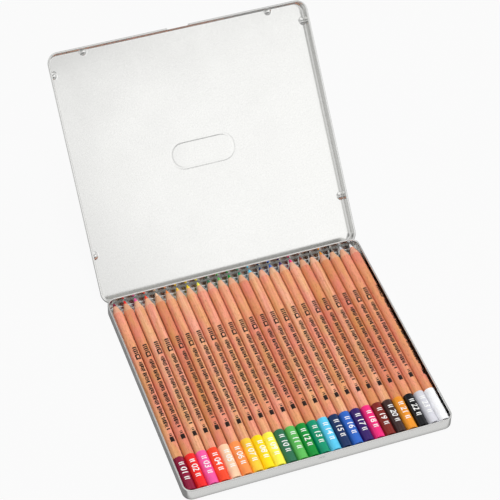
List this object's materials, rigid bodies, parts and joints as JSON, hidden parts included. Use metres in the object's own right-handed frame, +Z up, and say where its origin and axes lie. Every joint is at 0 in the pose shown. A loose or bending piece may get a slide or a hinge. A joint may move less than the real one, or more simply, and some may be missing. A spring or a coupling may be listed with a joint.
{
  "type": "watercolor pencil set",
  "caption": "Flat hinged metal tin, open, holding one layer of round natural-wood watercolor pencils whose blunt ends are dipped in the colour of the core.",
  "frame": {"origin": "on the table under the middle of the tray, in the plane of the tray's foot", "axes": "+X along the hinge to the right, +Y from the front of the tray towards the hinge and the open lid, +Z up"},
  "size_m": [0.1956, 0.3066, 0.1388],
  "materials": {
    "tinplate": "satin bright tinplate",
    "steel_wire": "drawn steel wire",
    "natural_wood": "bare cedar, smooth and matte",
    "color_maroon": "glossy lacquer dip, waxy core of the same colour",
    "color_red": "glossy lacquer dip, waxy core of the same colour",
    "color_pink": "glossy lacquer dip, waxy core of the same colour",
    "color_scarlet": "glossy lacquer dip, waxy core of the same colour",
    "color_peach": "glossy lacquer dip, waxy core of the same colour",
    "color_orange": "glossy lacquer dip, waxy core of the same colour",
    "color_golden_yellow": "glossy lacquer dip, waxy core of the same colour",
    "color_yellow": "glossy lacquer dip, waxy core of the same colour",
    "color_lemon": "glossy lacquer dip, waxy core of the same colour",
    "color_dark_green": "glossy lacquer dip, waxy core of the same colour",
    "color_light_green": "glossy lacquer dip, waxy core of the same colour",
    "color_green": "glossy lacquer dip, waxy core of the same colour",
    "color_teal": "glossy lacquer dip, waxy core of the same colour",
    "color_sky_blue": "glossy lacquer dip, waxy core of the same colour",
    "color_navy": "glossy lacquer dip, waxy core of the same colour",
    "color_blue": "glossy lacquer dip, waxy core of the same colour",
    "color_violet": "glossy lacquer dip, waxy core of the same colour",
    "color_hot_pink": "glossy lacquer dip, waxy core of the same colour",
    "color_red_brown": "glossy lacquer dip, waxy core of the same colour",
    "color_dark_brown": "glossy lacquer dip, waxy core of the same colour",
    "color_ochre": "glossy lacquer dip, waxy core of the same colour",
    "color_black": "glossy lacquer dip, waxy core of the same colour",
    "color_silver_grey": "glossy lacquer dip, waxy core of the same colour",
    "color_white": "glossy lacquer dip, waxy core of the same colour"
  },
  "bodies": {
    "tray": {"tray": "tinplate", "hinge_leaf_left": "tinplate", "hinge_leaf_right": "tinplate", "hinge_wire_left": "steel_wire", "hinge_wire_right": "steel_wire"},
    "lid": {"lid": "tinplate"},
    "pencil_01": {"pencil_01_barrel": "natural_wood", "pencil_01_lead_and_dip": "color_maroon"},
    "pencil_02": {"pencil_02_barrel": "natural_wood", "pencil_02_lead_and_dip": "color_red"},
    "pencil_03": {"pencil_03_barrel": "natural_wood", "pencil_03_lead_and_dip": "color_pink"},
    "pencil_04": {"pencil_04_barrel": "natural_wood", "pencil_04_lead_and_dip": "color_scarlet"},
    "pencil_05": {"pencil_05_barrel": "natural_wood", "pencil_05_lead_and_dip": "color_peach"},
    "pencil_06": {"pencil_06_barrel": "natural_wood", "pencil_06_lead_and_dip": "color_orange"},
    "pencil_07": {"pencil_07_barrel": "natural_wood", "pencil_07_lead_and_dip": "color_golden_yellow"},
    "pencil_08": {"pencil_08_barrel": "natural_wood", "pencil_08_lead_and_dip": "color_yellow"},
    "pencil_09": {"pencil_09_barrel": "natural_wood", "pencil_09_lead_and_dip": "color_lemon"},
    "pencil_10": {"pencil_10_barrel": "natural_wood", "pencil_10_lead_and_dip": "color_dark_green"},
    "pencil_11": {"pencil_11_barrel": "natural_wood", "pencil_11_lead_and_dip": "color_light_green"},
    "pencil_12": {"pencil_12_barrel": "natural_wood", "pencil_12_lead_and_dip": "color_green"},
    "pencil_13": {"pencil_13_barrel": "natural_wood", "pencil_13_lead_and_dip": "color_teal"},
    "pencil_14": {"pencil_14_barrel": "natural_wood", "pencil_14_lead_and_dip": "color_sky_blue"},
    "pencil_15": {"pencil_15_barrel": "natural_wood", "pencil_15_lead_and_dip": "color_navy"},
    "pencil_16": {"pencil_16_barrel": "natural_wood", "pencil_16_lead_and_dip": "color_blue"},
    "pencil_17": {"pencil_17_barrel": "natural_wood", "pencil_17_lead_and_dip": "color_violet"},
    "pencil_18": {"pencil_18_barrel": "natural_wood", "pencil_18_lead_and_dip": "color_hot_pink"},
    "pencil_19": {"pencil_19_barrel": "natural_wood", "pencil_19_lead_and_dip": "color_red_brown"},
    "pencil_20": {"pencil_20_barrel": "natural_wood", "pencil_20_lead_and_dip": "color_dark_brown"},
    "pencil_21": {"pencil_21_barrel": "natural_wood", "pencil_21_lead_and_dip": "color_ochre"},
    "pencil_22": {"pencil_22_barrel": "natural_wood", "pencil_22_lead_and_dip": "color_black"},
    "pencil_23": {"pencil_23_barrel": "natural_wood", "pencil_23_lead_and_dip": "color_silver_grey"},
    "pencil_24": {"pencil_24_barrel": "natural_wood", "pencil_24_lead_and_dip": "color_white"}
  },
  "joints": [
    {"name": "lid_hinge", "type": "hinge", "parent": "tray", "child": "lid", "pos_m": [0, 0.09048, 0.00435], "axis": [-1, 0, 0], "range_deg": [-132.4, 0]},
    {"name": "pencil_01_tilt", "type": "hinge", "parent": "tray", "child": "pencil_01", "pos_m": [-0.09051, -0.08682, 0.00546], "axis": [1, 0, 0], "range_deg": [0, 10]},
    {"name": "pencil_02_tilt", "type": "hinge", "parent": "tray", "child": "pencil_02", "pos_m": [-0.08264, -0.08682, 0.00546], "axis": [1, 0, 0], "range_deg": [0, 10]},
    {"name": "pencil_03_tilt", "type": "hinge", "parent": "tray", "child": "pencil_03", "pos_m": [-0.07476, -0.08682, 0.00546], "axis": [1, 0, 0], "range_deg": [0, 10]},
    {"name": "pencil_04_tilt", "type": "hinge", "parent": "tray", "child": "pencil_04", "pos_m": [-0.06689, -0.08682, 0.00546], "axis": [1, 0, 0], "range_deg": [0, 10]},
    {"name": "pencil_05_tilt", "type": "hinge", "parent": "tray", "child": "pencil_05", "pos_m": [-0.05903, -0.08682, 0.00546], "axis": [1, 0, 0], "range_deg": [0, 10]},
    {"name": "pencil_06_tilt", "type": "hinge", "parent": "tray", "child": "pencil_06", "pos_m": [-0.05115, -0.08682, 0.00546], "axis": [1, 0, 0], "range_deg": [0, 10]},
    {"name": "pencil_07_tilt", "type": "hinge", "parent": "tray", "child": "pencil_07", "pos_m": [-0.04328, -0.08682, 0.00546], "axis": [1, 0, 0], "range_deg": [0, 10]},
    {"name": "pencil_08_tilt", "type": "hinge", "parent": "tray", "child": "pencil_08", "pos_m": [-0.03542, -0.08682, 0.00546], "axis": [1, 0, 0], "range_deg": [0, 10]},
    {"name": "pencil_09_tilt", "type": "hinge", "parent": "tray", "child": "pencil_09", "pos_m": [-0.02755, -0.08682, 0.00546], "axis": [1, 0, 0], "range_deg": [0, 10]},
    {"name": "pencil_10_tilt", "type": "hinge", "parent": "tray", "child": "pencil_10", "pos_m": [-0.01968, -0.08682, 0.00546], "axis": [1, 0, 0], "range_deg": [0, 10]},
    {"name": "pencil_11_tilt", "type": "hinge", "parent": "tray", "child": "pencil_11", "pos_m": [-0.0118, -0.08682, 0.00546], "axis": [1, 0, 0], "range_deg": [0, 10]},
    {"name": "pencil_12_tilt", "type": "hinge", "parent": "tray", "child": "pencil_12", "pos_m": [-0.00394, -0.08682, 0.00546], "axis": [1, 0, 0], "range_deg": [0, 10]},
    {"name": "pencil_13_tilt", "type": "hinge", "parent": "tray", "child": "pencil_13", "pos_m": [0.00394, -0.08682, 0.00546], "axis": [1, 0, 0], "range_deg": [0, 10]},
    {"name": "pencil_14_tilt", "type": "hinge", "parent": "tray", "child": "pencil_14", "pos_m": [0.0118, -0.08682, 0.00546], "axis": [1, 0, 0], "range_deg": [0, 10]},
    {"name": "pencil_15_tilt", "type": "hinge", "parent": "tray", "child": "pencil_15", "pos_m": [0.01968, -0.08682, 0.00546], "axis": [1, 0, 0], "range_deg": [0, 10]},
    {"name": "pencil_16_tilt", "type": "hinge", "parent": "tray", "child": "pencil_16", "pos_m": [0.02755, -0.08682, 0.00546], "axis": [1, 0, 0], "range_deg": [0, 10]},
    {"name": "pencil_17_tilt", "type": "hinge", "parent": "tray", "child": "pencil_17", "pos_m": [0.03542, -0.08682, 0.00546], "axis": [1, 0, 0], "range_deg": [0, 10]},
    {"name": "pencil_18_tilt", "type": "hinge", "parent": "tray", "child": "pencil_18", "pos_m": [0.04328, -0.08682, 0.00546], "axis": [1, 0, 0], "range_deg": [0, 10]},
    {"name": "pencil_19_tilt", "type": "hinge", "parent": "tray", "child": "pencil_19", "pos_m": [0.05115, -0.08682, 0.00546], "axis": [1, 0, 0], "range_deg": [0, 10]},
    {"name": "pencil_20_tilt", "type": "hinge", "parent": "tray", "child": "pencil_20", "pos_m": [0.05903, -0.08682, 0.00546], "axis": [1, 0, 0], "range_deg": [0, 10]},
    {"name": "pencil_21_tilt", "type": "hinge", "parent": "tray", "child": "pencil_21", "pos_m": [0.06689, -0.08682, 0.00546], "axis": [1, 0, 0], "range_deg": [0, 10]},
    {"name": "pencil_22_tilt", "type": "hinge", "parent": "tray", "child": "pencil_22", "pos_m": [0.07476, -0.08682, 0.00546], "axis": [1, 0, 0], "range_deg": [0, 10]},
    {"name": "pencil_23_tilt", "type": "hinge", "parent": "tray", "child": "pencil_23", "pos_m": [0.08264, -0.08682, 0.00546], "axis": [1, 0, 0], "range_deg": [0, 10]},
    {"name": "pencil_24_tilt", "type": "hinge", "parent": "tray", "child": "pencil_24", "pos_m": [0.09051, -0.08682, 0.00546], "axis": [1, 0, 0], "range_deg": [0, 10]}
  ]
}
